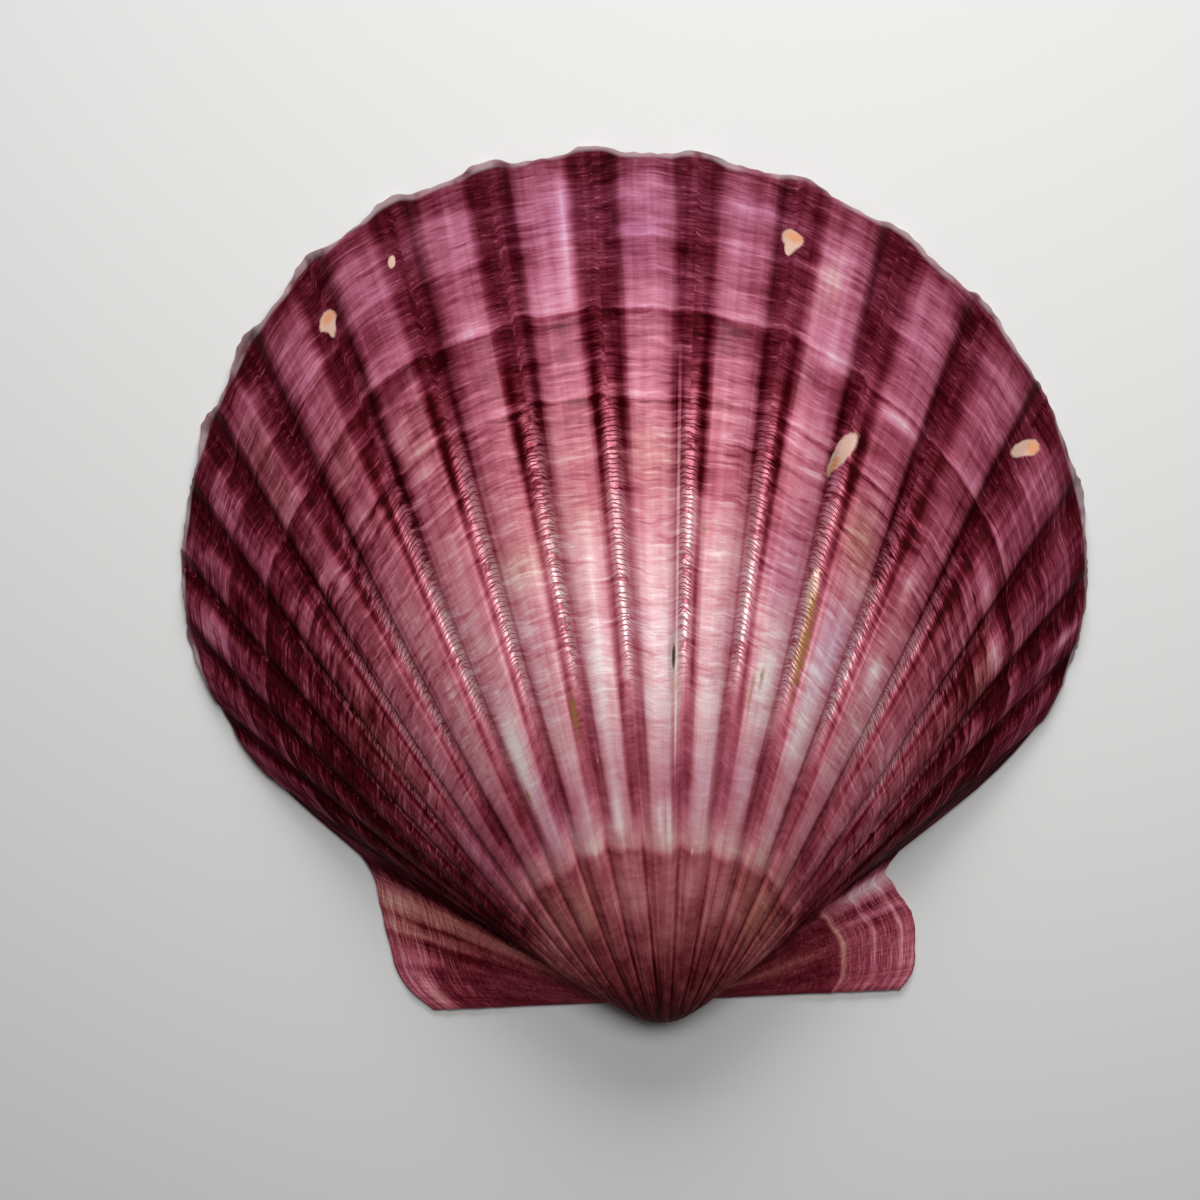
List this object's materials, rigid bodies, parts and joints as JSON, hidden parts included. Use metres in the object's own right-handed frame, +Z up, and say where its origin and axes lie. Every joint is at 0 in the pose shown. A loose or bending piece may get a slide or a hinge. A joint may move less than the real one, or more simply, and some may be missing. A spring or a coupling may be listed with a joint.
{
  "type": "bay scallop shell",
  "caption": "Single valve of a bay scallop shell, ribbed outside up, resting on its fluted rim and flat hinge plate, hollow underneath, with two ears beside the beak.",
  "frame": {"origin": "on the table, under the middle of the valve's outline", "axes": "+Z up out of the domed outside, +Y from the beak and hinge towards the middle of the rim, +X to the right seen from above with the rim at the top"},
  "size_m": [0.0778, 0.0752, 0.0182],
  "materials": {
    "shell": "calcite shell with a natural sheen: dull rose ribs over dark maroon grooves, pale inside"
  },
  "bodies": {
    "root": {"valve": "shell"}
  },
  "joints": []
}
